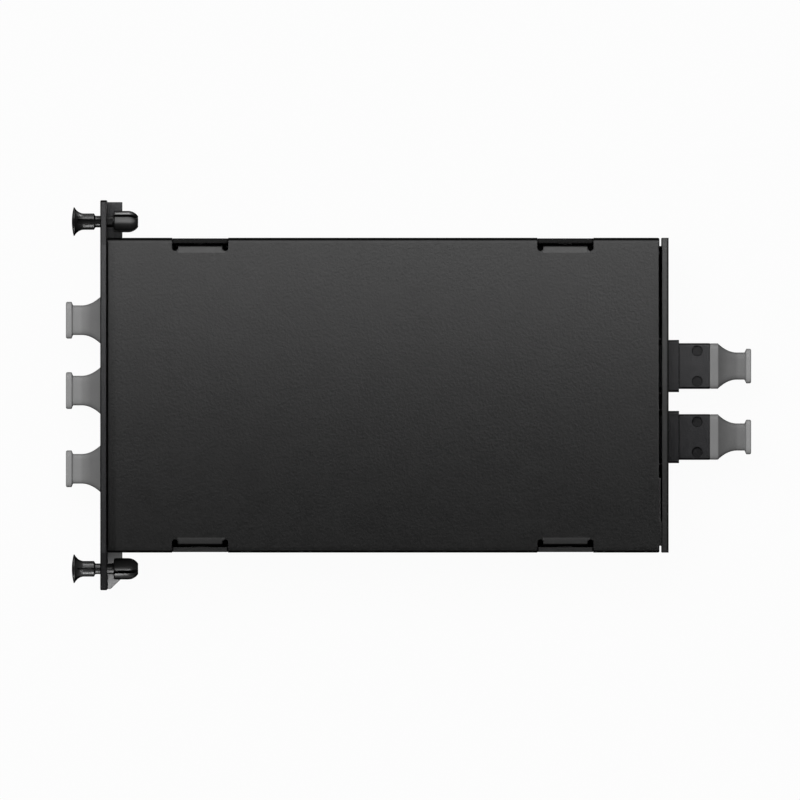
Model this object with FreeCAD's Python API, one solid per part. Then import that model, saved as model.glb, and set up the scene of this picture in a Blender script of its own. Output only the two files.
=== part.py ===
import FreeCAD, Part
import math
import os

# Fibre conversion cassette for a rack frame: two multi-fibre ports at the rear feed three at the front
# through leads inside a folded steel box. +X runs from the front panel to the rear ports, +Y is the left of
# someone who faces the panel, and +Z is up. The origin is on the panel's back face, which lies against the
# rack frame, midway between the two latches and at half the panel's height. Every length is in millimetres.

V = FreeCAD.Vector

# Front panel, a moulding with an ear at each end. A rib stiffens each ear along its lower edge.
panel_length = 109.0
panel_height = 35.0
panel_thickness = 1.7
panel_rounding = 0.35
ear_length = 10.5
ear_rib_depth = 4.2
ear_rib_thickness = 1.5
ear_rib_lap = 1.2
left_rib_setback = 0.35
right_gusset_setback = 0.15
right_gusset_run = 3.15
right_gusset_tip = 0.9
right_gusset_corner = 0.6
rib_sink = 0.5
window_clearance = 0.25

# Box. The cover is a shallow folded lid on a folded tray of the same outline, whose rear wall is thicker.
box_height = 31.5
cover_length = 154.5
cover_sheet = 1.0
cover_bend = 0.4
cover_end_round = 0.5
cover_corner = 0.5
cover_front_gap = 0.1
skirt_height = 6.0
tray_sheet = 1.4
tray_bend = 0.6
tray_inset = 0.15
rear_gap = 0.7
rear_wall_sheet = 1.85
corner_gap = 0.3
front_opening_height = 12.6
front_opening_margin = 1.2
front_opening_corner = 1.5

# Four snaps hold the cover: a tongue of the lid is bent down behind a tab of the tray wall.
snap_front_inset = 26.1
snap_rear_inset = 26.3
snap_length = 15.7
tongue_width = 12.4
tongue_bend = 0.7
tongue_outer_bend = 1.2
tongue_lap = 0.01
tongue_ramp = 2.1
tongue_drop = 0.5
tongue_reach = 7.2
tongue_gap = 0.3
tab_clearance = 0.25
tab_below_lid = 0.2
bump_radius = 0.6
bump_length = 4.0
bump_depth = 4.8
bump_hole = 2.0
bump_hole_play = 0.5
relief_depth = 0.3
skirt_setback = 0.2

# On the right of the cover's rear edge, a rounded lip and then a tab that fills the gap before the rear wall.
rear_lip_start = -23.0
rear_lip_end = -35.2
rear_lip_reach = 0.5
rear_tab_end = -42.1
rear_tab_gap = 0.1

# Ports, by the place of their axis across the box. All of them lie at half the panel's height.
front_ports = {"front_left": 21.0, "front_middle": 1.3, "front_right": -20.6}
rear_ports = {"rear_left": 8.16, "rear_right": -11.7}
front_recess = 0.15

# Adapter: a moulded coupler whose flange sits against the outside of its wall. Its own axis starts at its
# outer end and runs into the box.
body_width = 12.8
body_height = 9.0
body_corner = 0.6
nose_length = 8.6
flange_width = 14.6
flange_height = 10.8
flange_thickness = 3.0
tail_length = 13.8
port_width = 10.2
port_height = 6.6
port_depth = 12.0
port_corner = 0.4
keyway_sink = 0.25
keyway_width = 2.6
keyway_depth = 0.7
dimple_radius = 1.4
dimple_depth = 0.55
dimple_setback = 3.5
dimple_offset = 4.25
cutout_clearance = 0.45

# Sheet spring that straddles the adapter and hooks behind its wall.
clip_sheet = 0.35
clip_band = 3.0
clip_setback = 5.0
clip_arm_below = 3.0
clip_finger_height = 5.0
clip_finger_spread = 1.1
clip_finger_sink = 0.2
clip_corner = 0.5

# Bracket that carries the front adapters, riveted to the tray's floor.
bracket_sheet = 1.4
bracket_bend = 0.5
bracket_side_gap = 6.9
bracket_top = 8.6
bracket_foot = 9.0
rivet_radius = 1.2
rivet_head_radius = 2.4
rivet_head_height = 0.8
rivet_head_taper = 0.6
rivet_play = 0.02
rivet_inset = 7.0

# Dust cap: a plug with a grip. Its widths differ between the front and the rear set.
cap_widths = {"front": (13.3, 8.3, 10.3), "rear": (12.7, 7.6, 9.7)}
cap_band = 2.15
cap_flare = 5.3
cap_neck = 2.2
cap_shoulder = 0.6
cap_rim = 1.35
cap_band_height = 9.0
cap_neck_height = 5.4
cap_rim_height = 6.8
cap_rim_round = 0.45
cap_insert = 5.0
cap_insert_clearance = 0.15
cap_pocket_wall = 2.1
cap_pocket_corner = 0.3
cap_bulge_out = 0.31
cap_bulge_up = 0.47

# Plug on the inner side of each adapter.
ferrule_width = 6.4
ferrule_height = 2.5
ferrule_length = 7.4
ferrule_proud = 0.8
ferrule_corner = 0.2
window_margin = 0.1
plug_clearance = 0.05
plug_tail = 13.0
collar_length = 2.0
collar_width = 11.6
collar_height = 7.6
collar_corner = 0.8
sleeve_width = 12.4
sleeve_height = 8.4
sleeve_corner = 1.0
sleeve_start = 0.3
sleeve_length = 10.5
sleeve_groove = 0.35
sleeve_grooves = 4
sleeve_groove_width = 0.7
sleeve_groove_pitch = 1.5
sleeve_land = 1.6
boot_length = 10.0
boot_radius = 3.6
boot_tip_radius = 2.2
boot_grooves = 3
boot_groove_width = 0.8
boot_groove_pitch = 2.4

# Leads and the clips that hold them to the tray's floor.
lead_radius = 0.8
lead_pitch = 1.8
lead_clip_base = 1.0
lead_clip_length = 7.0
lead_clip_width = 6.0
lead_clip_wall = 0.6
lead_clip_mouth = 0.9
lead_clip_play = 0.03
lead_straight = 7.8
lead_dip = 18.2
lead_flat = 6.5
lead_sink = 0.71
lead_turn = 0.48
lead_bend_share = 0.45
lead_clip_lip = 1.0

# Latches: one-piece snap plungers that slide in the ears. The grooved shaft joins a trumpet head to a split
# barrel, and the rack frame's sheet is held between the ear and the barrel.
latch_inset = 5.9
shaft_radius = 1.65
shaft_clearance = 0.07
knob_radius = 2.3
knob_front = -6.6
knob_back = -3.2
knob_chamfer = 0.4
head_radius = 4.0
head_front = -9.3
head_dome = 0.5
head_edge = 0.25
head_crown = 0.75
flare_hollow = 0.27
flare_shift = 0.1
barrel_radius = 3.0
barrel_edge = 0.3
barrel_front = 1.9
barrel_straight = 5.95
barrel_tip = 8.75
barrel_tip_radius = 1.5
barrel_bore_radius = 1.25
barrel_floor = 1.1
nose_swell = 0.69
nose_shift = 0.3
slot_width = 0.88
slot_core_radius = 1.33
slot_angles = {"latch_left": -33.0, "latch_right": 17.0}
wide_groove = 1.4
narrow_groove = 0.5
wide_groove_turns = {"latch_left": 0, "latch_right": 90}
groove_floor = 0.75
groove_setback = 1.0
groove_end = 0.35

# Panel screws: countersunk, from the front into tapped holes in the tray's front wall.
screw_radius = 1.25
screw_head_radius = 2.3
screw_length = 4.5
screw_side_inset = 8.6
screw_rise = 6.5
screw_play = 0.02
screw_clearance = 0.15
driver_slot_width = 0.5
driver_slot_length = 3.0
driver_slot_depth = 0.5

# Places that follow from the sizes above.
top = box_height / 2
bottom = -box_height / 2
lid_half = panel_length / 2 - ear_length
latch_y = panel_length / 2 - latch_inset
lid_front = cover_front_gap
lid_back = lid_front + cover_length
wall_top = top - skirt_height
tray_half = lid_half - tray_inset
tray_outer_bend = tray_sheet + tray_bend
floor_top = bottom + tray_sheet
rear_wall_inner = lid_back + rear_gap
rear_wall_outer = rear_wall_inner + rear_wall_sheet
tongue_outer = tray_half - tray_sheet - tongue_gap
tongue_root = tongue_outer - tongue_ramp
skirt_outer_bend = cover_bend + cover_sheet
adapter_length = nose_length + flange_thickness + tail_length
flange_back = nose_length + flange_thickness
front_origin = front_recess
rear_origin = rear_wall_outer + flange_back
bracket_front = front_origin + flange_back
inner_port = adapter_length - port_depth
plug_start = inner_port + window_margin
plug_end = adapter_length + plug_tail
collar_end = plug_end + collar_length
boot_end = collar_end + boot_length
snap_stations = (lid_front + snap_front_inset, lid_back - snap_rear_inset)
bracket_half = lid_half - bracket_side_gap
rivet_places = (bracket_half - rivet_inset, rivet_inset - bracket_half)
screw_places = [(side * (lid_half - screw_side_inset), level * screw_rise)
                for side in (1, -1) for level in (1, -1)]
cap_length = cap_band + cap_flare + cap_neck + cap_shoulder + cap_rim
lead_clip_x = (front_origin + rear_origin) / 2


def tangent_arc(before, corner, after, radius):
    """Start, middle and end of the arc that rounds a corner."""
    back = (before - corner).normalize()
    ahead = (after - corner).normalize()
    half = back.getAngle(ahead) / 2
    reach = radius / math.tan(half)
    inward = (back + ahead).normalize()
    middle = corner + inward * (radius / math.sin(half) - radius)
    return corner + back * reach, middle, corner + ahead * reach


def rounded_wire(points, radii, closed=True):
    """Straight runs joined by tangent arcs. A radius of 0 leaves its corner sharp."""
    stops = []
    for i, (point, radius) in enumerate(zip(points, radii)):
        if radius:
            stops.append(tangent_arc(points[i - 1], point, points[(i + 1) % len(points)], radius))
        else:
            stops.append((point, None, point))
    edges = []
    for i, (start, middle, end) in enumerate(stops):
        if middle:
            edges.append(Part.Arc(start, middle, end).toShape())
        following = stops[(i + 1) % len(stops)][0]
        if (closed or i + 1 < len(stops)) and end.distanceToPoint(following) > 1e-6:
            edges.append(Part.makeLine(end, following))
    return Part.Wire(edges)


def at(axis, along, a, b):
    """The point at a distance along one axis, with its other two coordinates in the order x, y, z."""
    return {"x": V(along, a, b), "y": V(a, along, b), "z": V(a, b, along)}[axis]


def prism(axis, start, end, corners):
    """An outline of (a, b) or (a, b, radius) corners, extruded along an axis."""
    points = [at(axis, start, corner[0], corner[1]) for corner in corners]
    radii = [corner[2] if len(corner) > 2 else 0 for corner in corners]
    return Part.Face(rounded_wire(points, radii)).extrude(at(axis, end - start, 0, 0))


def block(axis, start, end, width, height, radius=0, centre=(0, 0)):
    """A rectangular bar along an axis, with its four long edges rounded."""
    a, b = centre
    corners = [(a + sa * width / 2, b + sb * height / 2, radius) for sa, sb in
               ((-1, -1), (1, -1), (1, 1), (-1, 1))]
    return prism(axis, start, end, corners)


def span(x, y, z):
    """A box between two values on each axis."""
    return Part.makeBox(x[1] - x[0], y[1] - y[0], z[1] - z[0], V(x[0], y[0], z[0]))


def rod(start, end, radius, y=0, z=0):
    """A cylinder along X."""
    return Part.makeCylinder(radius, end - start, V(start, y, z), V(1, 0, 0))


def both_sides(shape):
    """A shape and its mirror image across the middle plane of the box."""
    return [shape, shape.mirror(V(0, 0, 0), V(0, 1, 0))]


def edges_on(shape, test):
    """The edges whose every vertex passes a test."""
    return [edge for edge in shape.Edges if all(test(vertex.Point) for vertex in edge.Vertexes)]


def near(value, target):
    return abs(value - target) < 1e-4


def seated(shape, port):
    """Moves a piece from the adapter's own axis to its port."""
    placed = shape.copy()
    if port in rear_ports:
        placed.rotate(V(0, 0, 0), V(0, 0, 1), 180)
        placed.translate(V(rear_origin, rear_ports[port], 0))
    else:
        placed.translate(V(front_origin, front_ports[port], 0))
    return placed


def adapter_cutouts(start, end, places):
    """Holes in a wall for the adapters whose axes are at the given places."""
    width = body_width + 2 * cutout_clearance
    height = body_height + 2 * cutout_clearance
    return [block("x", start - 1, end + 1, width, height, body_corner, (y, 0)) for y in places]


def front_panel():
    panel = block("x", -panel_thickness, 0, panel_length, panel_height, 2 * panel_rounding)
    rim = edges_on(panel, lambda p: near(p.x, -panel_thickness))
    panel = panel.makeFillet(panel_rounding, rim)
    foot = -panel_height / 2
    rib_z = (foot, foot + ear_rib_thickness)
    side = lid_half - ear_rib_lap
    left = span((-rib_sink, ear_rib_depth), (side, panel_length / 2 - left_rib_setback), rib_z)
    end = right_gusset_setback - panel_length / 2
    right = prism("z", rib_z[0], rib_z[1], [
        (-rib_sink, -side), (ear_rib_depth, -side),
        (ear_rib_depth, end + right_gusset_run, right_gusset_corner),
        (right_gusset_tip, end), (-rib_sink, end)])
    panel = panel.fuse([left, right])
    width = max(cap_widths["front"]) + 2 * window_clearance
    height = cap_band_height + 2 * window_clearance
    before, behind = -panel_thickness - 1, ear_rib_depth + 1
    holes = [block("x", before, 1, width, height, body_corner, (y, 0)) for y in front_ports.values()]
    holes += [rod(before, behind, shaft_radius + shaft_clearance, y) for y in (latch_y, -latch_y)]
    for y, z in screw_places:
        holes.append(rod(before, 1, screw_radius + screw_clearance, y, z))
        holes.append(screw_head(y, z))
    return panel.cut(holes).removeSplitter()


def screw_head(y, z):
    """The cone of a countersunk head, flush with the panel's front."""
    depth = screw_head_radius - screw_radius
    return Part.makeCone(screw_head_radius, screw_radius, depth, V(-panel_thickness, y, z), V(1, 0, 0))


def panel_screws():
    screws = []
    for y, z in screw_places:
        shank = rod(-panel_thickness, screw_length - panel_thickness, screw_radius, y, z)
        screw = screw_head(y, z).fuse(shank)
        depth = (-panel_thickness - 1, -panel_thickness + driver_slot_depth)
        bar = block("x", depth[0], depth[1], driver_slot_width, driver_slot_length, 0, (y, z))
        cross = block("x", depth[0], depth[1], driver_slot_length, driver_slot_width, 0, (y, z))
        screws.append(screw.cut([bar, cross]).removeSplitter())
    return Part.makeCompound(screws)


def snap_tabs():
    """Tabs of the tray's side walls that stand in the gaps of the cover's skirts."""
    tabs = []
    half = snap_length / 2 - tab_clearance
    for x in snap_stations:
        tab = span((x - half, x + half), (tray_half - tray_sheet, tray_half),
                   (wall_top - 1, top - tab_below_lid))
        z = top - bump_depth
        length = bump_length / 2 + bump_hole_play
        hole = span((x - length, x + length), (0, lid_half), (z - bump_hole / 2, z + bump_hole / 2))
        tabs += both_sides(tab.cut(hole))
    return tabs


def base_tray():
    r, bend = tray_outer_bend, tray_bend
    inner = tray_half - tray_sheet
    channel = prism("x", corner_gap, lid_back, [
        (-tray_half, wall_top), (-tray_half, bottom, r), (tray_half, bottom, r), (tray_half, wall_top),
        (inner, wall_top), (inner, floor_top, bend), (-inner, floor_top, bend), (-inner, wall_top)])
    ends = prism("y", r - tray_half, tray_half - r, [
        (0, wall_top), (0, bottom, r), (rear_wall_outer, bottom, r), (rear_wall_outer, top),
        (rear_wall_inner, top), (rear_wall_inner, floor_top, bend), (tray_sheet, floor_top, bend),
        (tray_sheet, wall_top)])
    wing = span((rear_wall_inner, rear_wall_outer), (tray_half - r, lid_half), (bottom + r, top))
    tray = channel.fuse([ends] + both_sides(wing) + snap_tabs())
    reach = max(abs(y) for y in front_ports.values()) + flange_width / 2 + front_opening_margin
    cuts = [block("x", -1, tray_sheet + 1, 2 * reach, front_opening_height,
                  front_opening_corner)]
    cuts += adapter_cutouts(rear_wall_inner, rear_wall_outer, rear_ports.values())
    cuts += [rod(-1, tray_sheet + 1, screw_radius + screw_play, y, z) for y, z in screw_places]
    cuts += [rivet_shank(y, rivet_play) for y in rivet_places]
    return tray.cut(cuts).removeSplitter()


def folded_pan(x, half, z, side_bend, end_round, corner):
    """A block whose top edges are rounded over. Its plan and its two side views meet in it."""
    plan = block("z", z[0], z[1], x[1] - x[0], 2 * half, corner, ((x[0] + x[1]) / 2, 0))
    across = prism("x", x[0], x[1], [
        (-half, z[0]), (half, z[0]), (half, z[1], side_bend), (-half, z[1], side_bend)])
    along = prism("y", -half, half, [
        (x[0], z[0]), (x[1], z[0]), (x[1], z[1], end_round), (x[0], z[1], end_round)])
    return plan.common(across).common(along)


def top_cover():
    under = top - cover_sheet
    lid = folded_pan((lid_front, lid_back), lid_half, (wall_top, top), skirt_outer_bend, cover_end_round,
                     cover_corner)
    hollow = folded_pan((lid_front + cover_sheet, lid_back - cover_sheet), lid_half - cover_sheet,
                        (wall_top - 1, under), cover_bend, 0, 0)
    z = (wall_top - 1, top + 1)
    leg = (snap_length - tongue_width) / 2
    leg_round = 0.98 * leg / 2
    relief = tongue_root + relief_depth
    cuts, tongues = [hollow], []
    for x in snap_stations:
        first, last = x - snap_length / 2, x + snap_length / 2
        cuts += both_sides(span((first, last), (tongue_outer - skirt_setback, lid_half + 1), z))
        for start in (first, last - leg):
            slot = [(start, relief, leg_round), (start + leg, relief, leg_round),
                    (start + leg, lid_half), (start, lid_half)]
            cuts += both_sides(prism("z", z[0], z[1], slot))
        cuts += both_sides(span((x - tongue_width / 2, x + tongue_width / 2), (tongue_root, lid_half), z))
        tongues += both_sides(snap_tongue(x))
    return lid.cut(cuts).fuse(tongues + rear_lip()).removeSplitter()


def snap_tongue(x):
    """A tongue that slopes off the lid and is then bent down. Its bump clicks into the tab's hole."""
    tip = top - tongue_reach
    under = top - cover_sheet
    inner = tongue_outer - cover_sheet
    tongue = prism("x", x - tongue_width / 2, x + tongue_width / 2, [
        (tongue_root - tongue_lap, top), (tongue_root, top),
        (tongue_outer, top - tongue_drop, tongue_outer_bend), (tongue_outer, tip), (inner, tip),
        (inner, under - tongue_drop, tongue_bend), (tongue_root - tongue_lap, under)])
    bump = rod(x - bump_length / 2, x + bump_length / 2, bump_radius, tongue_outer, top - bump_depth)
    return tongue.fuse(bump.cut(span((x - bump_length, x + bump_length), (0, inner), (bottom, top))))


def rear_lip():
    """The lid's sheet carried past its rear edge: a rounded lip, then a tab that nearly meets the wall."""
    root = lid_back - skirt_outer_bend
    under = top - cover_sheet
    shapes = []
    for reach, start, end, rounding in (
            (rear_lip_reach, rear_lip_start, rear_lip_end, cover_end_round),
            (rear_gap - rear_tab_gap, rear_lip_end, rear_tab_end, 0)):
        edge = lid_back + reach
        shapes.append(prism("y", end, start, [
            (root, under), (edge, under), (edge, top, rounding), (root, top)]))
    return shapes


def front_bracket():
    """An angle behind the front panel, with its foot on the tray's floor."""
    back = bracket_front + bracket_sheet
    bracket = prism("y", -bracket_half, bracket_half, [
        (bracket_front, bracket_top), (bracket_front, floor_top, bracket_sheet + bracket_bend),
        (back + bracket_foot, floor_top), (back + bracket_foot, floor_top + bracket_sheet),
        (back, floor_top + bracket_sheet, bracket_bend), (back, bracket_top)])
    cuts = adapter_cutouts(bracket_front, back, front_ports.values())
    cuts += [rivet_shank(y, rivet_play) for y in rivet_places]
    return bracket.cut(cuts)


def rivet_shank(y, play=0):
    x = bracket_front + bracket_sheet + bracket_foot / 2
    return Part.makeCylinder(rivet_radius + play, tray_sheet + bracket_sheet, V(x, y, bottom))


def bracket_rivets():
    rivets = []
    seat = floor_top + bracket_sheet
    for y in rivet_places:
        shank = rivet_shank(y)
        x = shank.CenterOfMass.x
        crown = rivet_head_radius * rivet_head_taper
        head = Part.makeCone(rivet_head_radius, crown, rivet_head_height, V(x, y, seat))
        rivets.append(shank.fuse(head).removeSplitter())
    return Part.makeCompound(rivets)


def adapter():
    body = block("x", 0, adapter_length, body_width, body_height, body_corner)
    flange = block("x", nose_length, flange_back, flange_width, flange_height, body_corner)
    body = body.fuse(flange)
    key = (0, port_height / 2 + keyway_depth / 2 - keyway_sink)
    cuts = [
        block("x", -1, port_depth, port_width, port_height, port_corner),
        block("x", inner_port, adapter_length + 1, port_width, port_height, port_corner),
        block("x", port_depth - 1, inner_port + 1, ferrule_width + 2 * window_margin,
              ferrule_height + 2 * window_margin, ferrule_corner),
        block("x", -1, nose_length, keyway_width, keyway_depth + 2 * keyway_sink, 0, key),
    ]
    for y in (dimple_offset, -dimple_offset):
        for z in (body_height / 2 - dimple_depth, -body_height / 2 - 1):
            cuts.append(Part.makeCylinder(dimple_radius, dimple_depth + 1, V(dimple_setback, y, z)))
    return body.cut(cuts).removeSplitter()


def adapter_clip(wall):
    """A sheet spring over the adapter's tail. Its two fingers end on the inner face of the wall."""
    start = flange_back + wall + clip_setback
    side, over = body_width / 2, body_height / 2
    saddle = prism("x", start, start + clip_band, [
        (-side - clip_sheet, -clip_arm_below), (-side - clip_sheet, over + clip_sheet, clip_corner),
        (side + clip_sheet, over + clip_sheet, clip_corner), (side + clip_sheet, -clip_arm_below),
        (side, -clip_arm_below), (side, over), (-side, over), (-side, -clip_arm_below)])
    hook = flange_back + wall
    spread = side + clip_finger_spread
    root = start + clip_finger_sink
    finger = prism("z", -clip_finger_height / 2, clip_finger_height / 2, [
        (root, side), (root, side + clip_sheet), (hook, spread + clip_sheet), (hook, spread)])
    return saddle.fuse(both_sides(finger)).removeSplitter()


def cap_outline(at_band, at_neck, at_rim):
    """Half-widths of the cap against the distance out from the adapter, as edges of a closed outline."""
    flare = cap_band + cap_flare
    neck = flare + cap_neck
    rim = neck + cap_shoulder
    bulge = V(-cap_band - cap_bulge_out * cap_flare, at_neck + cap_bulge_up * (at_band - at_neck), 0)
    corner = cap_rim_round / math.sqrt(2)
    side = [
        V(0, at_band, 0), V(-cap_band, at_band, 0), V(-flare, at_neck, 0), V(-neck, at_neck, 0),
        V(-rim, at_rim, 0), V(-cap_length + cap_rim_round, at_rim, 0),
        V(-cap_length, at_rim - cap_rim_round, 0)]
    round_off = V(-cap_length + cap_rim_round - corner, at_rim - cap_rim_round + corner, 0)
    edges = []
    for s in (1, -1):
        run = [V(p.x, s * p.y, 0) for p in side]
        edges.append(Part.makeLine(run[0], run[1]))
        edges.append(Part.Arc(run[1], V(bulge.x, s * bulge.y, 0), run[2]).toShape())
        edges += [Part.makeLine(run[i], run[i + 1]) for i in (2, 3, 4)]
        edges.append(Part.Arc(run[5], V(round_off.x, s * round_off.y, 0), run[6]).toShape())
    edges.append(Part.makeLine(V(0, at_band, 0), V(0, -at_band, 0)))
    tip = side[-1]
    edges.append(Part.makeLine(V(tip.x, tip.y, 0), V(tip.x, -tip.y, 0)))
    return Part.Face(Part.Wire(Part.__sortEdges__(edges)))


def dust_cap(widths):
    """The grip is where the cap's plan and its side view meet. A plug reaches into the port."""
    depth = 20
    band, neck, rim = (width / 2 for width in widths)
    plan = cap_outline(band, neck, rim).extrude(V(0, 0, depth))
    plan.translate(V(0, 0, -depth / 2))
    side = cap_outline(cap_band_height / 2, cap_neck_height / 2, cap_rim_height / 2).extrude(V(0, 0, depth))
    side.rotate(V(0, 0, 0), V(1, 0, 0), 90)
    side.translate(V(0, depth / 2, 0))
    grip = plan.common(side)
    width = port_width - 2 * cap_insert_clearance
    height = port_height - 2 * cap_insert_clearance
    plug = block("x", -cap_band, cap_insert, width, height, port_corner)
    pocket = block("x", 0, cap_insert + 1, width - 2 * cap_pocket_wall, height - 2 * cap_pocket_wall,
                   cap_pocket_corner)
    return grip.fuse(plug).cut(pocket).removeSplitter()


def plug_ferrule():
    start = inner_port - ferrule_proud
    return block("x", start, start + ferrule_length, ferrule_width, ferrule_height, ferrule_corner)


def plug_housing():
    width = port_width - 2 * plug_clearance
    height = port_height - 2 * plug_clearance
    housing = block("x", plug_start, plug_end, width, height, port_corner)
    collar = block("x", plug_end, collar_end, collar_width, collar_height, collar_corner)
    return housing.fuse(collar).cut(plug_ferrule()).removeSplitter()


def plug_sleeve():
    """The sleeve that is pulled back along the plug to release it."""
    start = adapter_length + sleeve_start
    end = start + sleeve_length
    sleeve = block("x", start, end, sleeve_width, sleeve_height, sleeve_corner)
    cuts = [block("x", start - 1, end + 1, port_width, port_height, port_corner)]
    for i in range(sleeve_grooves):
        x = end - sleeve_land - sleeve_groove_pitch * i
        groove = block("x", x - sleeve_groove_width, x, sleeve_width + 2, sleeve_height + 2)
        core = block("x", x - 1, x + 1, sleeve_width - 2 * sleeve_groove, sleeve_height - 2 * sleeve_groove,
                     sleeve_corner)
        cuts.append(groove.cut(core))
    return sleeve.cut(cuts)


def plug_boot():
    boot = Part.makeCone(boot_radius, boot_tip_radius, boot_length, V(collar_end, 0, 0), V(1, 0, 0))
    grooves = []
    for i in range(boot_grooves):
        x = collar_end + boot_groove_pitch * (i + 1)
        grooves.append(rod(x, x + boot_groove_width, boot_radius + 1).cut(rod(x - 1, x + 2, boot_tip_radius)))
    return boot.cut(grooves)


def turned(profile):
    """A solid of revolution about X from (x, radius) edges."""
    return Part.Face(Part.Wire(profile)).revolve(V(0, 0, 0), V(1, 0, 0), 360)


def latch(name):
    """Head, grooved shaft and split barrel in one piece, at its place in the ear."""
    def line(*points):
        return [Part.makeLine(V(a[0], a[1], 0), V(b[0], b[1], 0)) for a, b in zip(points, points[1:])]

    def arc(a, b, c):
        return [Part.Arc(V(a[0], a[1], 0), V(b[0], b[1], 0), V(c[0], c[1], 0)).toShape()]

    edge = head_front + head_edge
    crown = (head_front - head_dome, 0)
    flare_middle = ((edge + knob_front) / 2 - flare_shift,
                    knob_radius + flare_hollow * (head_radius - knob_radius))
    nose_middle = ((barrel_straight + barrel_tip) / 2 + nose_shift,
                   barrel_tip_radius + nose_swell * (barrel_radius - barrel_tip_radius))
    stem = turned(
        arc(crown, (head_front - head_crown * head_dome, head_radius / 2), (head_front, head_radius))
        + line((head_front, head_radius), (edge, head_radius))
        + arc((edge, head_radius), flare_middle, (knob_front, knob_radius))
        + line((knob_front, knob_radius), (knob_back - knob_chamfer, knob_radius), (knob_back, shaft_radius),
               (barrel_front + barrel_floor, shaft_radius), (barrel_front + barrel_floor, 0), crown))
    barrel = turned(
        line((barrel_front, 0), (barrel_front, barrel_radius - barrel_edge),
             (barrel_front + barrel_edge, barrel_radius), (barrel_straight, barrel_radius))
        + arc((barrel_straight, barrel_radius), nose_middle, (barrel_tip, barrel_tip_radius))
        + line((barrel_tip, barrel_tip_radius), (barrel_tip, barrel_bore_radius),
               (barrel_front + barrel_floor, barrel_bore_radius), (barrel_front + barrel_floor, 0),
               (barrel_front, 0)))
    slot = block("x", barrel_front, barrel_tip + 1, 2 * head_radius, slot_width)
    slots = slot.fuse(slot.rotated(V(0, 0, 0), V(1, 0, 0), 90))
    slots = slots.cut(rod(0, barrel_front + barrel_floor, slot_core_radius))
    slots.rotate(V(0, 0, 0), V(1, 0, 0), slot_angles[name])
    grooves = []
    for turn, width in ((0, wide_groove), (90, narrow_groove), (180, wide_groove), (270, narrow_groove)):
        groove = span((head_front + groove_setback, barrel_front - groove_end), (-width / 2, width / 2),
                      (groove_floor, head_radius))
        grooves.append(groove.rotated(V(0, 0, 0), V(1, 0, 0), turn + wide_groove_turns[name]))
    plunger = stem.fuse(barrel).cut([slots] + grooves).removeSplitter()
    side = 1 if name == "latch_left" else -1
    plunger.translate(V(0, side * latch_y, 0))
    return plunger


lead_clips_at = {"a_left": 15.6, "a_middle": 5.4, "b_middle": -5.9, "b_right": -17.0}
lead_ends = {
    "a_left": (("rear_left", 0.5), ("front_left", 0)),
    "a_middle": (("rear_left", -0.5), ("front_middle", 0.5)),
    "b_middle": (("rear_right", 0.5), ("front_middle", -0.5)),
    "b_right": (("rear_right", -0.5), ("front_right", 0)),
}


def lead_route(name):
    """Points from the rear boot, down to the clip on the floor and up to the front boot."""
    (rear, rear_side), (front, front_side) = lead_ends[name]
    y0 = rear_ports[rear] + rear_side * lead_pitch
    y1 = front_ports[front] + front_side * lead_pitch
    y = lead_clips_at[name]
    low = floor_top + lead_clip_base + lead_radius
    start = rear_origin - boot_end
    end = front_origin + boot_end
    return [
        V(start, y0, 0), V(start - lead_straight, y0, 0),
        V(start - lead_dip, y0 + lead_turn * (y - y0), low * lead_sink), V(lead_clip_x + lead_flat, y, low),
        V(lead_clip_x - lead_flat, y, low), V(end + lead_dip, y1 + lead_turn * (y - y1), low * lead_sink),
        V(end + lead_straight, y1, 0), V(end, y1, 0)]


def fibre_lead(name):
    points = lead_route(name)
    radii = [0] * len(points)
    for i in range(1, len(points) - 1):
        before, after = points[i] - points[i - 1], points[i + 1] - points[i]
        radii[i] = lead_bend_share * min(before.Length, after.Length) / math.tan(before.getAngle(after) / 2)
    path = rounded_wire(points, radii, closed=False)
    section = Part.Wire(Part.makeCircle(lead_radius, points[0], points[1] - points[0]))
    tube = path.makePipeShell([section], True, True)
    share = tube.Volume / (math.pi * lead_radius ** 2 * path.Length)
    print(name, "bend radii", [round(r, 1) for r in radii[1:-1]], "length", round(path.Length, 1),
          "volume share", round(share, 4))
    return tube


def lead_clips():
    """Adhesive clips on the tray's floor, each a pad with a sprung ring open at the top."""
    clips = []
    inner = lead_radius + lead_clip_play
    outer = inner + lead_clip_wall
    for y in lead_clips_at.values():
        z = floor_top + lead_clip_base + lead_radius
        x = (lead_clip_x - lead_clip_length / 2, lead_clip_x + lead_clip_length / 2)
        pad = span(x, (y - lead_clip_width / 2, y + lead_clip_width / 2),
                   (floor_top, floor_top + lead_clip_base))
        ring = rod(x[0] + lead_clip_lip, x[1] - lead_clip_lip, outer, y, z)
        mouth = span(x, (y - lead_clip_mouth / 2, y + lead_clip_mouth / 2), (z, z + 2 * outer))
        clips.append(pad.fuse(ring).cut([rod(x[0], x[1], inner, y, z), mouth]).removeSplitter())
    return Part.makeCompound(clips)


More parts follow.
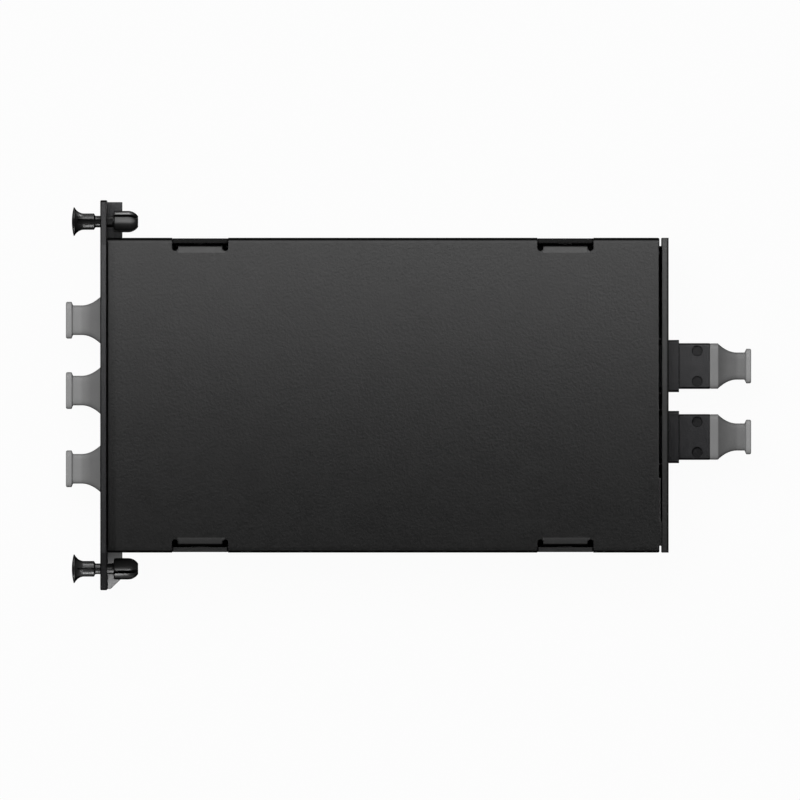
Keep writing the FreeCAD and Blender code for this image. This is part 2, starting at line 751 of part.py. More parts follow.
def all_pieces():
    pieces = {
        "base_tray": base_tray(), "top_cover": top_cover(), "front_panel": front_panel(),
        "panel_screws": panel_screws(), "front_bracket": front_bracket(), "bracket_rivets": bracket_rivets(),
        "lead_clips": lead_clips()}
    for name in slot_angles:
        pieces[name] = latch(name)
    for name in lead_ends:
        pieces["fibre_lead_" + name] = fibre_lead(name)
    for port in list(front_ports) + list(rear_ports):
        is_front = port in front_ports
        wall = bracket_sheet if is_front else rear_wall_sheet
        pieces["adapter_" + port] = seated(adapter(), port)
        pieces["adapter_clip_" + port] = seated(adapter_clip(wall), port)
        pieces["dust_cap_" + port] = seated(dust_cap(cap_widths["front" if is_front else "rear"]), port)
        pieces["plug_housing_" + port] = seated(plug_housing(), port)
        pieces["plug_sleeve_" + port] = seated(plug_sleeve(), port)
        pieces["plug_ferrule_" + port] = seated(plug_ferrule(), port)
        pieces["plug_boot_" + port] = seated(plug_boot(), port)
    return pieces


os.makedirs("parts", exist_ok=True)
for node, shape in all_pieces().items():
    shape.exportStep(os.path.join("parts", node + ".step"))
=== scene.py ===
from math import radians

import bpy
import numpy as np
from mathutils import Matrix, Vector


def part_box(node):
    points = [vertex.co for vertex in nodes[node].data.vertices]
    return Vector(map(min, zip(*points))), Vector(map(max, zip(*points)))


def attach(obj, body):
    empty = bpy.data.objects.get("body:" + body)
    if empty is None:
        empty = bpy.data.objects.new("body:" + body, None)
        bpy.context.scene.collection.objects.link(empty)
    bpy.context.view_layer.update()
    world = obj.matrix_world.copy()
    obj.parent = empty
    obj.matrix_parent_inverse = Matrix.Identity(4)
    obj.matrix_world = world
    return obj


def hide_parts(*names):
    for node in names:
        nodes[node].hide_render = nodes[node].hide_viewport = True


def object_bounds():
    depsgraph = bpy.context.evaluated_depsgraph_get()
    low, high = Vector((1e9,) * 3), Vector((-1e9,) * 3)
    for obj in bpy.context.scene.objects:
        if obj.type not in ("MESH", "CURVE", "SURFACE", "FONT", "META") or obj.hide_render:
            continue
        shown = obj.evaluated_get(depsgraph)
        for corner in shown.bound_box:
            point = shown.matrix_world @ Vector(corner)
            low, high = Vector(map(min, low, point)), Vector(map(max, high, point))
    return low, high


# Fibre conversion cassette: a folded steel box behind a moulded front panel, with capped ports at both ends.
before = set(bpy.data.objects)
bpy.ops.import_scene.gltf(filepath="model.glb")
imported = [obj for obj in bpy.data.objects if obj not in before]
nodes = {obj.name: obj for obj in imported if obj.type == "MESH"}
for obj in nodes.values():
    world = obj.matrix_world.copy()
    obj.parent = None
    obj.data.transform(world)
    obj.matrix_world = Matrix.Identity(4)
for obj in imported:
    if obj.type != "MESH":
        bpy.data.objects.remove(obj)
cad_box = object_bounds()


# ---- Base tray ----
# Folded sheet steel with a front and a rear wall and four tabs for the cover's snaps. It is coated with
# black powder, which melts to a low, fine orange peel over a slightly uneven film.
def arithmetic(tree, operation, *values, clamp=False):
    """The output of a math node. Each value is a number or another node's output."""
    node = tree.nodes.new("ShaderNodeMath")
    node.operation = operation
    node.use_clamp = clamp
    for socket, value in zip(node.inputs, values):
        if isinstance(value, (int, float)):
            socket.default_value = value
        else:
            tree.links.new(value, socket)
    return node.outputs[0]


def stretch(tree, value, source, target):
    """A value between the two source numbers, carried to lie between the two target numbers."""
    node = tree.nodes.new("ShaderNodeMapRange")
    node.inputs["From Min"].default_value, node.inputs["From Max"].default_value = source
    node.inputs["To Min"].default_value, node.inputs["To Max"].default_value = target
    tree.links.new(value, node.inputs["Value"])
    return node.outputs["Result"]


def grain_noise(tree, coordinates, scale, detail):
    """A fractal noise of the given scale per metre, read from the coordinates."""
    noise = tree.nodes.new("ShaderNodeTexNoise")
    noise.inputs["Scale"].default_value = scale
    noise.inputs["Detail"].default_value = detail
    tree.links.new(coordinates, noise.inputs["Vector"])
    return noise.outputs["Fac"]


def noise_between(tree, noise, low, high):
    """The middle of a noise, 0.3 to 0.7, stretched to run from low to high."""
    return stretch(tree, noise, (0.3, 0.7), (low, high))


def place_along(tree, axis):
    """Where a point lies along one axis of the frame: X, Y or Z."""
    split = tree.nodes.new("ShaderNodeSeparateXYZ")
    tree.links.new(tree.nodes["Texture Coordinate"].outputs["Object"], split.inputs[0])
    return split.outputs[axis]


def zone(tree, **ranges):
    """1 inside a block, else 0. A range is the middle and the reach along x, y or z. abs_y takes both sides."""
    inside = 1
    for name, (middle, reach) in ranges.items():
        place = place_along(tree, name[-1].upper())
        if name == "abs_y":
            place = arithmetic(tree, "ABSOLUTE", place)
        inside = arithmetic(tree, "MULTIPLY", inside, arithmetic(tree, "COMPARE", place, middle, reach))
    return inside


def mix_colours(tree, factor, first, second):
    """A blend of two colours, each given as red, green and blue or as another node's output."""
    mix = tree.nodes.new("ShaderNodeMix")
    mix.data_type = "RGBA"
    for socket, colour in ((mix.inputs["A"], first), (mix.inputs["B"], second)):
        if isinstance(colour, tuple):
            socket.default_value = (*colour, 1)
        else:
            tree.links.new(colour, socket)
    tree.links.new(factor, mix.inputs["Factor"])
    return mix.outputs["Result"]


def recolour(tree, shader, factor, colour):
    """Blends the base colour of a finish towards another colour, by a factor."""
    base = shader.inputs["Base Color"]
    tree.links.new(mix_colours(tree, factor, base.links[0].from_socket, colour), base)


def mix_surfaces(tree, share, first, second, target):
    """Feeds a target with two surfaces, of which the second has the given share."""
    mix = tree.nodes.new("ShaderNodeMixShader")
    for source, socket in zip((share, first, second), mix.inputs):
        tree.links.new(source, socket)
    tree.links.new(mix.outputs[0], target)


def darken(tree, factor, strength=1):
    """Paints shade: mixes a dull near black into a finish where a factor says so."""
    dull = tree.nodes.new("ShaderNodeBsdfDiffuse")
    dull.inputs["Color"].default_value = (0.002, 0.002, 0.002, 1)
    surface = tree.nodes["Material Output"].inputs["Surface"]
    share = arithmetic(tree, "MULTIPLY", factor, strength)
    mix_surfaces(tree, share, surface.links[0].from_socket, dull.outputs[0], surface)


def surface_finish(name, dark, light, roughness, specular, cloud, grain, relief, edge, rim=None):
    """A finish whose colour drifts from dark to light in clouds, with a fine grain in its relief and its gloss.

    cloud and grain are noise scales per metre, relief and edge are in metres: the grain's height and the radius
    at which corners catch the light. rim gives the upward tilt at which a painted shade turns a bend dark and
    the one at which it is plain again, a dark outline painted along bends and edges. Returns the material, its
    node tree and its shader.
    """
    material = bpy.data.materials.new(name)
    material.use_nodes = True
    tree = material.node_tree
    shader = tree.nodes["Principled BSDF"]
    shader.inputs["Specular IOR Level"].default_value = specular
    place = tree.nodes.new("ShaderNodeTexCoord").outputs["Object"]
    clouds = grain_noise(tree, place, cloud, 3)
    grains = grain_noise(tree, place, grain, 2)
    drift = arithmetic(tree, "ADD", noise_between(tree, clouds, 0, 0.6), noise_between(tree, grains, 0, 0.4),
                       clamp=True)
    tree.links.new(mix_colours(tree, drift, dark, light), shader.inputs["Base Color"])
    gloss = noise_between(tree, grains, roughness - 0.04, roughness + 0.04)
    tree.links.new(gloss, shader.inputs["Roughness"])
    rounding = tree.nodes.new("ShaderNodeBevel")
    rounding.samples = 6
    rounding.inputs["Radius"].default_value = edge
    bump = tree.nodes.new("ShaderNodeBump")
    bump.inputs["Distance"].default_value = relief
    tree.links.new(grains, bump.inputs["Height"])
    tree.links.new(rounding.outputs["Normal"], bump.inputs["Normal"])
    tree.links.new(bump.outputs["Normal"], shader.inputs["Normal"])
    # Painted shade: where a face tilts away from straight up, a dull black is mixed in as a dark outline.
    if rim:
        tilt = tree.nodes.new("ShaderNodeSeparateXYZ")
        tree.links.new(rounding.outputs["Normal"], tilt.inputs[0])
        fade = stretch(tree, tilt.outputs["Z"], rim, (1, 0))
        faces_up = arithmetic(tree, "GREATER_THAN", tilt.outputs["Z"], 0.03)
        darken(tree, arithmetic(tree, "MULTIPLY", fade, faces_up))
    return material, tree, shader


def wear(node, material):
    """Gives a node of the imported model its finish."""
    for slot in nodes[node].material_slots:
        slot.material = material


def powder_coat(name, tone, specular, rim):
    """Black powder coat: a fine orange peel over the sheet, with a painted shade that darkens its bends and
    edges.
    """
    return surface_finish(name, dark=(tone,) * 3, light=(tone + 0.003,) * 3, roughness=0.50, specular=specular,
                          cloud=160, grain=1500, relief=0.00007, edge=0.00035, rim=rim)


# Painted light: the tray's tone is set lighter than the cover's, though both wear one coat, to lift the shaded
# gap and groove between them.
tray_coat, tray_tree, _ = powder_coat("tray_powder_coat", tone=0.0112, specular=0.262, rim=(0.92, 0.99))
tray_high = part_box("base_tray")[1]
# Painted shade on the tops of the tabs on the +Y side.
shaded_left_tab_tops = zone(tray_tree, y=(tray_high.y - 0.00085, 0.00085), z=(tray_high.z - 0.0002, 0.00012))
darken(tray_tree, shaded_left_tab_tops, 0.85)
# Painted shade along the rear wall's top edge.
shaded_rear_wall_edge = zone(tray_tree, x=(tray_high.x, 0.0005), z=(tray_high.z, 0.0003))
darken(tray_tree, shaded_rear_wall_edge, 0.7)
wear("base_tray", tray_coat)


# ---- Front bracket and its rivets ----
# An angle of zinc-plated steel that carries the three front adapters, held to the floor by two rivets.
# Its plating is bright but spangled, and duller where the sheet was drawn through the press.
zinc_plate, _, zinc_shader = surface_finish(
    "zinc_plate", dark=(0.46, 0.47, 0.48), light=(0.58, 0.59, 0.60), roughness=0.38, specular=0.5, cloud=220,
    grain=1800, relief=0.00002, edge=0.0002)
zinc_shader.inputs["Metallic"].default_value = 1
for node in ("front_bracket", "bracket_rivets"):
    wear(node, zinc_plate)


# ---- Adapters ----
# Moulded couplers in black plastic, one in each port. The flange stops against the wall, and the two round
# dimples in each face are left by the mould.
PORTS = ("front_left", "front_middle", "front_right", "rear_left", "rear_right")
DIMPLE_FLOOR = 0.00395
adapter_black, adapter_tree, _ = surface_finish(
    "adapter_black", dark=(0.0035, 0.0035, 0.0042), light=(0.0065, 0.0065, 0.0074), roughness=0.48,
    specular=0.268, cloud=400, grain=2600, relief=0.00003, edge=0.00035, rim=(0.92, 0.99))
# Painted shade on the dimples' floors; rim paints a dark outline along the edges.
darken(adapter_tree, zone(adapter_tree, z=(DIMPLE_FLOOR, 0.00005)), 0.42)
for port in PORTS:
    wear("adapter_" + port, adapter_black)


# ---- Adapter clips ----
# Sheet springs of hardened steel that straddle each adapter and lock it to its wall. They are brushed along
# the strip that they were cut from.
spring_steel, _, spring_shader = surface_finish(
    "spring_steel", dark=(0.10, 0.10, 0.11), light=(0.16, 0.16, 0.17), roughness=0.4, specular=0.5, cloud=300,
    grain=3000, relief=0.00001, edge=0.0001)
spring_shader.inputs["Metallic"].default_value = 1
for port in PORTS:
    wear("adapter_clip_" + port, spring_steel)


# ---- Plugs ----
# One plug sits in the inner side of each adapter: a housing around a glass-filled ferrule, a grooved sleeve
# that is pulled back to release it, and a soft boot for the lead.
ferrule_green, _, _ = surface_finish(
    "ferrule_plastic", dark=(0.035, 0.060, 0.045), light=(0.050, 0.080, 0.060), roughness=0.35, specular=0.5,
    cloud=500, grain=5000, relief=0.00001, edge=0.0001)
housing_aqua, _, _ = surface_finish(
    "plug_plastic", dark=(0.055, 0.330, 0.360), light=(0.075, 0.380, 0.410), roughness=0.42, specular=0.4,
    cloud=350, grain=2500, relief=0.00002, edge=0.00015)
boot_rubber, _, _ = surface_finish(
    "boot_rubber", dark=(0.018, 0.018, 0.019), light=(0.030, 0.030, 0.031), roughness=0.7, specular=0.25,
    cloud=400, grain=3200, relief=0.00004, edge=0.00015)
for port in PORTS:
    wear("plug_ferrule_" + port, ferrule_green)
    wear("plug_housing_" + port, housing_aqua)
    wear("plug_sleeve_" + port, housing_aqua)
    wear("plug_boot_" + port, boot_rubber)


# ---- Leads and lead clips ----
# Four fibre leads run from the rear plugs down to the floor and up to the front plugs. Each has a smooth
# extruded jacket, and a white nylon clip on an adhesive pad holds it half way.
lead_jacket, _, _ = surface_finish(
    "lead_jacket", dark=(0.050, 0.370, 0.400), light=(0.070, 0.430, 0.460), roughness=0.4, specular=0.4,
    cloud=250, grain=3500, relief=0.00001, edge=0.00005)
for name in ("a_left", "a_middle", "b_middle", "b_right"):
    wear("fibre_lead_" + name, lead_jacket)
clip_nylon, _, _ = surface_finish(
    "clip_nylon", dark=(0.62, 0.61, 0.57), light=(0.72, 0.71, 0.67), roughness=0.45, specular=0.4, cloud=400,
    grain=2500, relief=0.00002, edge=0.0001)
wear("lead_clips", clip_nylon)


# ---- Top cover ----
# A shallow lid folded down on all four sides, in thinner sheet than the tray's and the same coating. Four
# tongues of the lid are bent down behind the tray's tabs, and a grey painted highlight lies on their tops.
TONGUE_STATIONS = (0.0265, 0.1286)
TONGUE_PAINTED_HIGHLIGHT = (0.026, 0.026, 0.026)
# The cover wears the same coat at a far darker tone than the tray, whose lighter tone is painted light.
cover_coat, cover_tree, cover_shader = powder_coat(
    "cover_powder_coat", tone=0.0008, specular=0.226, rim=(0.80, 0.93))
# Painted highlight: grey on the tongues' tops near their fold.
for station in TONGUE_STATIONS:
    tongues = zone(cover_tree, x=(station, 0.0066), abs_y=(0.0415, 0.0017), z=(0.0157, 0.0004))
    recolour(cover_tree, cover_shader, tongues, TONGUE_PAINTED_HIGHLIGHT)
wear("top_cover", cover_coat)


# ---- Front panel and its screws ----
# A moulding in black plastic with a fine spark-eroded texture. Painted light makes the right ear's lower rib
# pale grey, painted shade darkens both ears' plates, and rim paints a dark outline along the edges. Four
# countersunk screws hold it to the tray.
RIB_PAINTED_LIGHT_GREY = (0.22, 0.22, 0.22)
panel_black, panel_tree, panel_shader = surface_finish(
    "panel_black", dark=(0.0118, 0.0118, 0.0125), light=(0.0148, 0.0148, 0.0157), roughness=0.52,
    specular=0.258, cloud=300, grain=1900, relief=0.00008, edge=0.00040, rim=(0.92, 0.99))
# Painted light: a pale grey on the right ear's lower rib, paler outward.
right_rib = zone(panel_tree, x=(0.0035, 0.0037), y=(-0.0500, 0.0060), z=(-0.0160, 0.0003))
outward_fade = stretch(panel_tree, place_along(panel_tree, "Y"), (-0.0445, -0.0520), (0.25, 1))
recolour(panel_tree, panel_shader, arithmetic(panel_tree, "MULTIPLY", right_rib, outward_fade), RIB_PAINTED_LIGHT_GREY)
# Painted shade on both ears' plates, stronger on the right.
shaded_left_ear_plate = zone(panel_tree, x=(-0.0010, 0.0011), y=(0.0485, 0.0065))
darken(panel_tree, shaded_left_ear_plate, 0.28)
shaded_right_ear_plate = zone(panel_tree, x=(-0.0010, 0.0011), y=(-0.0500, 0.0060))
darken(panel_tree, shaded_right_ear_plate, 0.50)
wear("front_panel", panel_black)
screw_black, _, _ = surface_finish(
    "black_screw", dark=(0.020, 0.020, 0.020), light=(0.035, 0.034, 0.033), roughness=0.4, specular=0.5,
    cloud=800, grain=4000, relief=0.00001, edge=0.0001)
wear("panel_screws", screw_black)


# ---- Latches ----
# One-piece snap plungers in black nylon: a trumpet head to pull, a grooved shaft and a split barrel. They
# come out of a polished mould, so they are glossier than the panel.
# Painted light: the right latch is set lighter than the left, so one nylon comes as a lit and a shaded copy.
# rim paints a dark outline along their steep faces.
for name, tone in (("latch_left", 0.009), ("latch_right", 0.020)):
    latch_black, latch_tree, _ = surface_finish(
        name + "_nylon", dark=(tone,) * 3, light=(tone + 0.003,) * 3, roughness=0.32, specular=0.3, cloud=500,
        grain=2600, relief=0.000001, edge=0.00012, rim=(0.30, 0.62))
    if name == "latch_left":
        # Painted shade on the left shaft between the ear and the barrel.
        shaded_shaft_behind_ear = zone(latch_tree, x=(0.0006, 0.0012))
        darken(latch_tree, shaded_shaft_behind_ear, 0.65)
    wear(name, latch_black)


# ---- Dust caps ----
# Moulded in soft grey plastic: a band that stops against the port, a flare down to a slim neck, and a rim to
# pull by. A hollow plug on the inner side fits the port. A lighter grey is painted along each cap ring by ring,
# as painted light and shade, with its own levels for the front and the rear caps.
RING_POINTS = 128
CAP_RUNS = {  # lengths of the band, the flare, the neck, the shoulder and the rim
    "front": (0.00190, 0.0053, 0.00235, 0.00055, 0.00150),
    "rear": (0.00235, 0.0053, 0.00205, 0.00065, 0.00125)}
CAP_WIDTHS = {"front": (0.0133, 0.0083, 0.0103), "rear": (0.0127, 0.0076, 0.0097)}  # band, neck and rim
CAP_HEIGHTS = (0.0090, 0.0054, 0.0068)  # band, neck and rim
# Levels of painted light and shade along the caps, each end its own:
CAP_PAINTED_LIGHT = {  # at the band, at the flare's foot, middle and tip, along the neck, and at the rim
    "front": (0.46, 0.36, 0.22, 0.48, 0.76, 1.05), "rear": (0.55, 0.0, 0.08, 0.10, 0.30, 1.0)}
RIM_ROUNDING = 0.00045
CAP_PAINTED_LIGHT_GREY = (0.30, 0.30, 0.30)


def cap_grip(runs, widths, heights, painted_levels):
    """Rows of (distance out, half width, half height, squareness, painted light) from the port to the rim's
    face.

    Half sizes stay level along the band, fall to the neck as (1 - u) squared along the flare, rise along the
    shoulder as 3v^2 - 2v^3, stay level along the rim and end in a quarter circle.
    """
    ends = np.cumsum(runs)
    out = np.concatenate([
        [0, 0.0001, 0.0003], np.linspace(0.0006, ends[0] - 0.0003, 4), ends[0] - np.array([0.00014, 0.00005]),
        ends[0] + np.array([0.00003, 0.00012, 0.00025]), np.linspace(ends[0] + 0.0004, ends[1], 22),
        np.linspace(ends[1], ends[2], 8)[1:], np.linspace(ends[2], ends[3], 8)[1:],
        np.linspace(ends[3], ends[4] - RIM_ROUNDING, 5)[1:]])
    along_flare = np.clip((out - ends[0]) / runs[1], 0, 1)
    along_shoulder = np.clip((out - ends[2]) / runs[3], 0, 1)
    rise = along_shoulder ** 2 * (3 - 2 * along_shoulder)
    turn = np.linspace(0, np.pi / 2, 9)[1:]
    halves = []
    for (band, neck, rim), step in ((widths, 0.00015), (heights, 0.00035)):
        full = neck + (band - step - neck) * (1 - along_flare) ** 2
        full = np.where(out < ends[0], band, full) + (rim - neck) * rise
        full[0] -= 0.0003
        full[1] -= 0.0001
        tip = rim - 2 * RIM_ROUNDING * (1 - np.cos(turn))
        halves.append(np.concatenate([full, tip]) / 2)
    distance = np.concatenate([out, ends[4] - RIM_ROUNDING + RIM_ROUNDING * np.sin(turn)])
    squareness = 9 - 3 * np.clip(distance / ends[1], 0, 1)
    stations = [ends[0], ends[0] + 0.0002, ends[0] + runs[1] / 2, ends[1] - 0.0004, ends[1] + 0.0004,
                ends[2], ends[3]]
    painted_light = np.interp(distance, stations, [*painted_levels[:5], painted_levels[4], painted_levels[5]])
    return np.column_stack([distance, *halves, squareness, painted_light])


def cap_plug(width, height, length, wall):
    """Rows like the grip's, from the pocket's floor out round the plug's mouth and back to the band."""
    half_w, half_h = width / 2, height / 2
    bore_w, bore_h = half_w - wall, half_h - wall
    rows = np.array([
        (0.0001, 0, 0), (0.0001, bore_w * 0.7, bore_h * 0.7), (0.0001, bore_w - 0.0001, bore_h - 0.0001),
        (0, bore_w, bore_h), (-length + 0.0002, bore_w, bore_h), (-length, bore_w + 0.0001, bore_h + 0.0001),
        (-length, half_w - 0.0003, half_h - 0.0003), (-length + 0.0001, half_w - 0.0001, half_h - 0.0001),
        (-length + 0.0004, half_w, half_h), (-0.0002, half_w, half_h), (0, half_w, half_h)])
    squareness, painted_light = 7.0, 0.4
    return np.column_stack([rows, np.full(len(rows), squareness), np.full(len(rows), painted_light)])


def lofted_cap(name, rows, port_x, port_y, outward):
    """Superellipses |y/w|^n + |z/h|^n = 1, one for each row, carried along the port's axis and closed at
    both ends."""
    angle = np.linspace(0, 2 * np.pi, RING_POINTS, endpoint=False)
    power = 2 / rows[:, 3:4]
    y = rows[:, 1:2] * np.sign(np.cos(angle)) * np.abs(np.cos(angle)) ** power
    z = rows[:, 2:3] * np.sign(np.sin(angle)) * np.abs(np.sin(angle)) ** power
    x = np.broadcast_to(rows[:, 0:1], y.shape)
    points = np.stack([port_x + outward * x, port_y + outward * y, z], axis=-1).reshape(-1, 3)
    first_pole = points[:RING_POINTS].mean(axis=0)
    last_pole = points[-RING_POINTS:].mean(axis=0)
    points = np.vstack([points[RING_POINTS:], first_pole, last_pole])
    ring_count = len(rows) - 1
    ring, step = np.meshgrid(np.arange(ring_count - 1), np.arange(RING_POINTS), indexing="ij")
    here = (ring * RING_POINTS + step).ravel()
    beside = (ring * RING_POINTS + (step + 1) % RING_POINTS).ravel()
    quads = np.column_stack([here, beside, beside + RING_POINTS, here + RING_POINTS])
    around = np.arange(RING_POINTS)
    after = (around + 1) % RING_POINTS
    start, end = len(points) - 2, len(points) - 1
    last_ring = (ring_count - 1) * RING_POINTS
    first_fan = np.column_stack([np.full(RING_POINTS, start), after, around])
    last_fan = np.column_stack([np.full(RING_POINTS, end), last_ring + around, last_ring + after])
    mesh = bpy.data.meshes.new(name)
    mesh.from_pydata(points.tolist(), [], quads.tolist() + first_fan.tolist() + last_fan.tolist())
    mesh.shade_smooth()
    # Each ring's level of painted light and shade, which the cap's finish reads.
    painted_light = mesh.attributes.new("painted_light", "FLOAT", "POINT")
    values = np.concatenate([np.repeat(rows[1:, 4], RING_POINTS), rows[:1, 4], rows[-1:, 4]])
    painted_light.data.foreach_set("value", values.astype(np.float32))
    piece = bpy.data.objects.new(name, mesh)
    bpy.context.scene.collection.objects.link(piece)
    return piece


def cap_plastic():
    """Grey and cloudy, with a lighter grey painted in ring by ring as painted light and shade."""
    material, tree, shader = surface_finish(
        "dust_cap_plastic", dark=(0.105, 0.105, 0.105), light=(0.130, 0.130, 0.130), roughness=0.5,
        specular=0.1, cloud=260, grain=2200, relief=0.00001, edge=0.00005)
    thin = tree.nodes.new("ShaderNodeAttribute")
    thin.attribute_name = "painted_light"
    # Painted light and shade: a lighter grey is mixed in by each ring's level.
    recolour(tree, shader, thin.outputs["Fac"], CAP_PAINTED_LIGHT_GREY)
    return material


cap_grey = cap_plastic()
plug_rows = cap_plug(width=0.0099, height=0.0063, length=0.005, wall=0.0021)
for port in PORTS:
    node = "dust_cap_" + port
    low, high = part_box(node)
    end, outward = ("front", -1) if port.startswith("front") else ("rear", 1)
    length = sum(CAP_RUNS[end])
    port_x = low.x + length if outward < 0 else high.x - length
    rows = np.vstack([plug_rows, cap_grip(CAP_RUNS[end], CAP_WIDTHS[end], CAP_HEIGHTS, CAP_PAINTED_LIGHT[end])])
    cap = lofted_cap("cap_" + port, rows, port_x, (low.y + high.y) / 2, outward)
    cap.data.materials.append(cap_grey)
    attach(cap, node)
    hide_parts(node)


# ---- Floor and sky ----
# A plain white floor that keeps the part's shadow, under a dim even sky. Both are white where they are looked
# at, the floor also in the gloss and through glass, and neither adds light to the part by being white.
FLOOR_HALF = 12.0
FLOOR_TONE = 0.5
GLOW_SHARE = 0.96
SKY_LEVEL = 0.12
floor_z = cad_box[0].z
mesh = bpy.data.meshes.new("floor")
mesh.from_pydata([(-FLOOR_HALF, -FLOOR_HALF, floor_z), (FLOOR_HALF, -FLOOR_HALF, floor_z),
                  (FLOOR_HALF, FLOOR_HALF, floor_z), (-FLOOR_HALF, FLOOR_HALF, floor_z)], [], [(0, 1, 2, 3)])
floor = bpy.data.objects.new("floor", mesh)
bpy.context.scene.collection.objects.link(floor)


def direct_view(path):
    """1 for rays from the camera and for those seen in gloss or through glass, else 0."""
    tree = path.id_data
    seen = arithmetic(tree, "MAXIMUM", path.outputs["Is Camera Ray"], path.outputs["Is Glossy Ray"])
    return arithmetic(tree, "MAXIMUM", seen, path.outputs["Is Transmission Ray"])


def floor_white():
    """White where it is looked at, with a thin share of plain surface that keeps the shadow."""
    material = bpy.data.materials.new("floor_white")
    material.use_nodes = True
    tree = material.node_tree
    tree.nodes.clear()
    plain = tree.nodes.new("ShaderNodeBsdfDiffuse")
    plain.inputs["Color"].default_value = (FLOOR_TONE, FLOOR_TONE, FLOOR_TONE, 1)
    glow = tree.nodes.new("ShaderNodeEmission")
    glow.inputs["Strength"].default_value = 1
    share = arithmetic(tree, "MULTIPLY", direct_view(tree.nodes.new("ShaderNodeLightPath")), GLOW_SHARE)
    output = tree.nodes.new("ShaderNodeOutputMaterial")
    mix_surfaces(tree, share, plain.outputs[0], glow.outputs[0], output.inputs["Surface"])
    return material


def even_sky():
    """Dim and even for the part that it lights, and white where the camera looks at it."""
    world = bpy.data.worlds.new("studio")
    bpy.context.scene.world = world
    world.use_nodes = True
    tree = world.node_tree
    tree.nodes.clear()
    backgrounds = []
    for level in (SKY_LEVEL, 1):
        background = tree.nodes.new("ShaderNodeBackground")
        background.inputs["Color"].default_value = (1, 1, 1, 1)
        background.inputs["Strength"].default_value = level
        backgrounds.append(background.outputs[0])
    looked_at = tree.nodes.new("ShaderNodeLightPath").outputs["Is Camera Ray"]
    output = tree.nodes.new("ShaderNodeOutputWorld")
    mix_surfaces(tree, looked_at, *backgrounds, output.inputs["Surface"])


floor.data.materials.append(floor_white())
even_sky()


# ---- Lamps ----
# One wide soft lamp lights everything. A soft box over the +Y side shows only in the gloss, where it gives
# the long fade across black surfaces. Near lamps are each kept to a few pieces.
KEY_AWAY = (-0.5, 1.0, 3.5)  # from the cover's middle
KEY_SIZE = 2.4
KEY_POWER = 121
BOX_LENGTH, BOX_DEPTH = 0.44, 0.24
BOX_EDGE = 0.021  # the soft box's near edge, from the middle plane
BOX_HEIGHT = 0.140
BOX_SPREAD = radians(140)
BOX_POWER = 1.278


def soft_lamp(name, place, target, width, depth, power):
    """A rectangular lamp at a place, turned to face a target. Its width lies level."""
    data = bpy.data.lights.new(name, "AREA")
    data.shape = "RECTANGLE"
    data.size = width
    data.size_y = depth
    data.energy = power
    lamp = bpy.data.objects.new(name, data)
    bpy.context.scene.collection.objects.link(lamp)
    lamp.location = place
    lamp.rotation_euler = (Vector(place) - Vector(target)).to_track_quat("Z", "Y").to_euler()
    lamp.visible_camera = False
    return lamp


cover_low, cover_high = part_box("top_cover")
middle_x = (cover_low.x + cover_high.x) / 2
key_place = (middle_x + KEY_AWAY[0], KEY_AWAY[1], KEY_AWAY[2])
key_lamp = soft_lamp("key_lamp", key_place, (middle_x, 0, 0), KEY_SIZE, KEY_SIZE, KEY_POWER)
key_lamp.visible_glossy = False
box_y = BOX_EDGE + BOX_DEPTH / 2
soft_box = soft_lamp(
    "gloss_panel", (middle_x, box_y, BOX_HEIGHT), (middle_x, box_y, 0), BOX_LENGTH, BOX_DEPTH, BOX_POWER)
soft_box.data.spread = BOX_SPREAD
soft_box.visible_diffuse = False

LEFT_LATCH = (-0.004, 0.0486, 0.001)
RIGHT_LATCH = (-0.004, -0.0486, 0.001)
SIDE_TARGET = (middle_x, 0, -0.001)  # below every top face, so that only upright faces are lit
NEAR_LAMPS = {  # the pieces lit, whether in the gloss only, and each lamp's place, target, width, depth, power
    "cover": (("top_cover",), True, {
        "gloss_strip_front": ((-0.20, 0.0, 0.15), (0.0, 0.0, 0.016), 0.5, 0.02, 1.3),
        "gloss_strip_rear": ((0.36, 0.0, 0.15), (0.157, 0.0, 0.016), 0.5, 0.02, 1.2)}),
    "latches": (("latch_left", "latch_right"), True, {
        "right_latch_outer": ((-0.004, -0.0786, 0.0165), RIGHT_LATCH, 0.016, 0.008, 0.0120),
        "right_latch_inner": ((-0.004, -0.0186, 0.0165), RIGHT_LATCH, 0.016, 0.008, 0.0060),
        "right_barrel": ((0.009, -0.0613, 0.0282), (0.009, -0.0486, 0.001), 0.012, 0.020, 0.0130),
        "left_barrel": ((0.008, 0.0786, -0.0020), (0.008, 0.0486, 0.001), 0.012, 0.010, 0.0055),
        "left_latch_outer": ((-0.004, 0.0786, 0.0165), LEFT_LATCH, 0.016, 0.008, 0.0042),
        "left_latch_inner": ((-0.004, 0.0186, 0.0165), LEFT_LATCH, 0.016, 0.010, 0.0105)}),
    "sides": (("base_tray", "top_cover", "front_panel", "panel_screws", "adapter_rear_left",
               "adapter_rear_right"), False, {
        "side_front": ((-0.60, 0.10, -0.001), SIDE_TARGET, 0.40, 0.03, 2.6),
        "side_rear": ((0.76, -0.10, -0.001), SIDE_TARGET, 0.40, 0.03, 2.2),
        "side_left": ((0.20, 0.60, -0.001), SIDE_TARGET, 0.40, 0.03, 2.2),
        "side_right": ((0.05, -0.60, -0.001), SIDE_TARGET, 0.40, 0.03, 2.6)}),
    "ear": (("front_panel",), False, {
        "right_ear": ((0.004, -0.075, 0.020), (0.003, -0.049, -0.016), 0.02, 0.02, 0.021)})}
for group, (lit_pieces, gloss_only, lamps) in NEAR_LAMPS.items():
    receivers = bpy.data.collections.new("lit_" + group)
    for piece in lit_pieces:
        receivers.objects.link(nodes[piece])
    for name, sizes in lamps.items():
        lamp = soft_lamp(name, *sizes)
        lamp.light_linking.receiver_collection = receivers
        lamp.visible_diffuse = not gloss_only


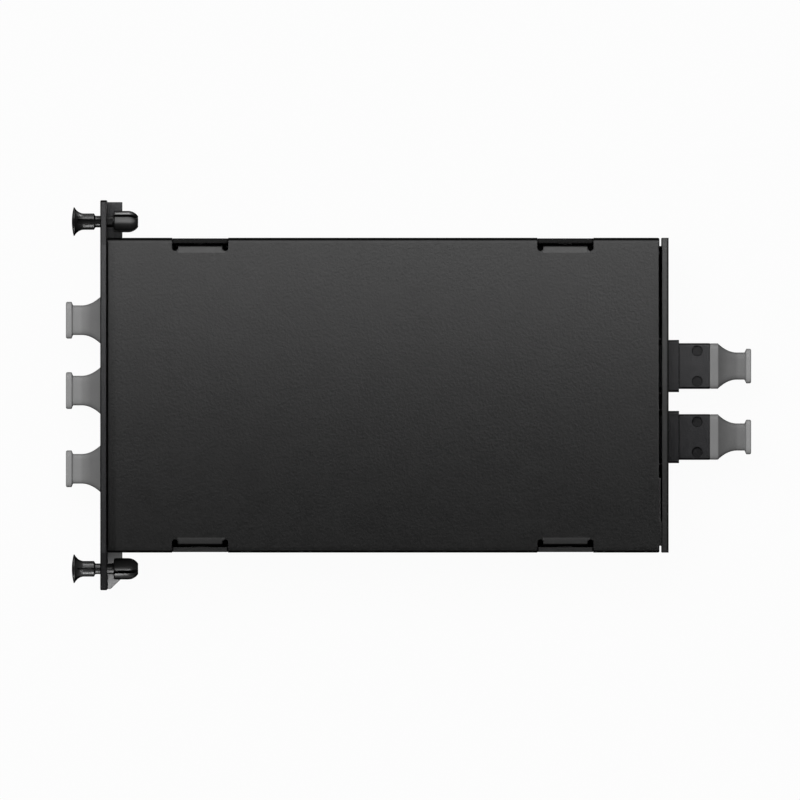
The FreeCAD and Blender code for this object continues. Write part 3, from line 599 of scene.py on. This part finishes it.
# ---- Black cards ----
# They only show in the gloss, where they keep the white floor and the lamps off the black faces. Some stand
# around the part, one hangs over the left latch, and the rest lie under the part.
WALL_CARDS = {  # (x, y) of one foot, (x, y) of the other, height of the top
    "left": ((0.014, 0.062), (0.200, 0.062), 0.0165),
    "right": ((0.014, -0.062), (0.200, -0.062), 0.0165),
    "rear": ((0.200, 0.062), (0.200, -0.062), 0.0165),
    "right_latch": ((-0.030, -0.064), (0.014, -0.064), -0.002),
    "front": ((-0.030, 0.064), (-0.030, -0.064), 0.014)}
MAT_Z = floor_z + 0.0005
LEVEL_CARDS = {  # range of x, range of y, height
    "over_left_latch": ((-0.030, 0.0012), (0.0435, 0.0545), 0.012),
    "under_box": ((0.012, 0.200), (-0.062, 0.062), MAT_Z),
    "under_panel": ((-0.030, 0.012), (-0.064, 0.047), MAT_Z),
    "under_left_head": ((-0.030, -0.002), (0.047, 0.064), MAT_Z)}
card_black = bpy.data.materials.new("flag_black")
card_black.use_nodes = True
card_shader = card_black.node_tree.nodes["Principled BSDF"]
card_shader.inputs["Base Color"].default_value = (0, 0, 0, 1)
card_shader.inputs["Specular IOR Level"].default_value = 0


def black_card(name, corners):
    """A card that only shows in the gloss. corners are its four corners in order."""
    mesh = bpy.data.meshes.new("flag_" + name)
    mesh.from_pydata(corners, [], [(0, 1, 2, 3)])
    card = bpy.data.objects.new("flag_" + name, mesh)
    bpy.context.scene.collection.objects.link(card)
    card.data.materials.append(card_black)
    for ray in ("camera", "diffuse", "transmission", "volume_scatter", "shadow"):
        setattr(card, "visible_" + ray, False)


for name, (start, end, height) in WALL_CARDS.items():
    black_card(name, [(*start, floor_z), (*end, floor_z), (*end, height), (*start, height)])
for name, ((x0, x1), (y0, y1), z) in LEVEL_CARDS.items():
    black_card(name, [(x0, y0, z), (x1, y0, z), (x1, y1, z), (x0, y1, z)])


# ---- Camera ----
# Straight above the cover, through a very long lens, so that upright faces are hardly seen.
VIEW_WIDTH = 0.2236  # what the view takes in at the cover's height
VIEW_MIDDLE = (0.08207, -0.00134)
camera_data = bpy.data.cameras.new("camera")
camera_data.lens = 1500
camera_data.sensor_width = 36
camera = bpy.data.objects.new("camera", camera_data)
camera.location = (*VIEW_MIDDLE, cover_high.z + VIEW_WIDTH * camera_data.lens / camera_data.sensor_width)
bpy.context.scene.collection.objects.link(camera)
bpy.context.scene.camera = camera
bpy.context.scene.view_settings.view_transform = "Standard"
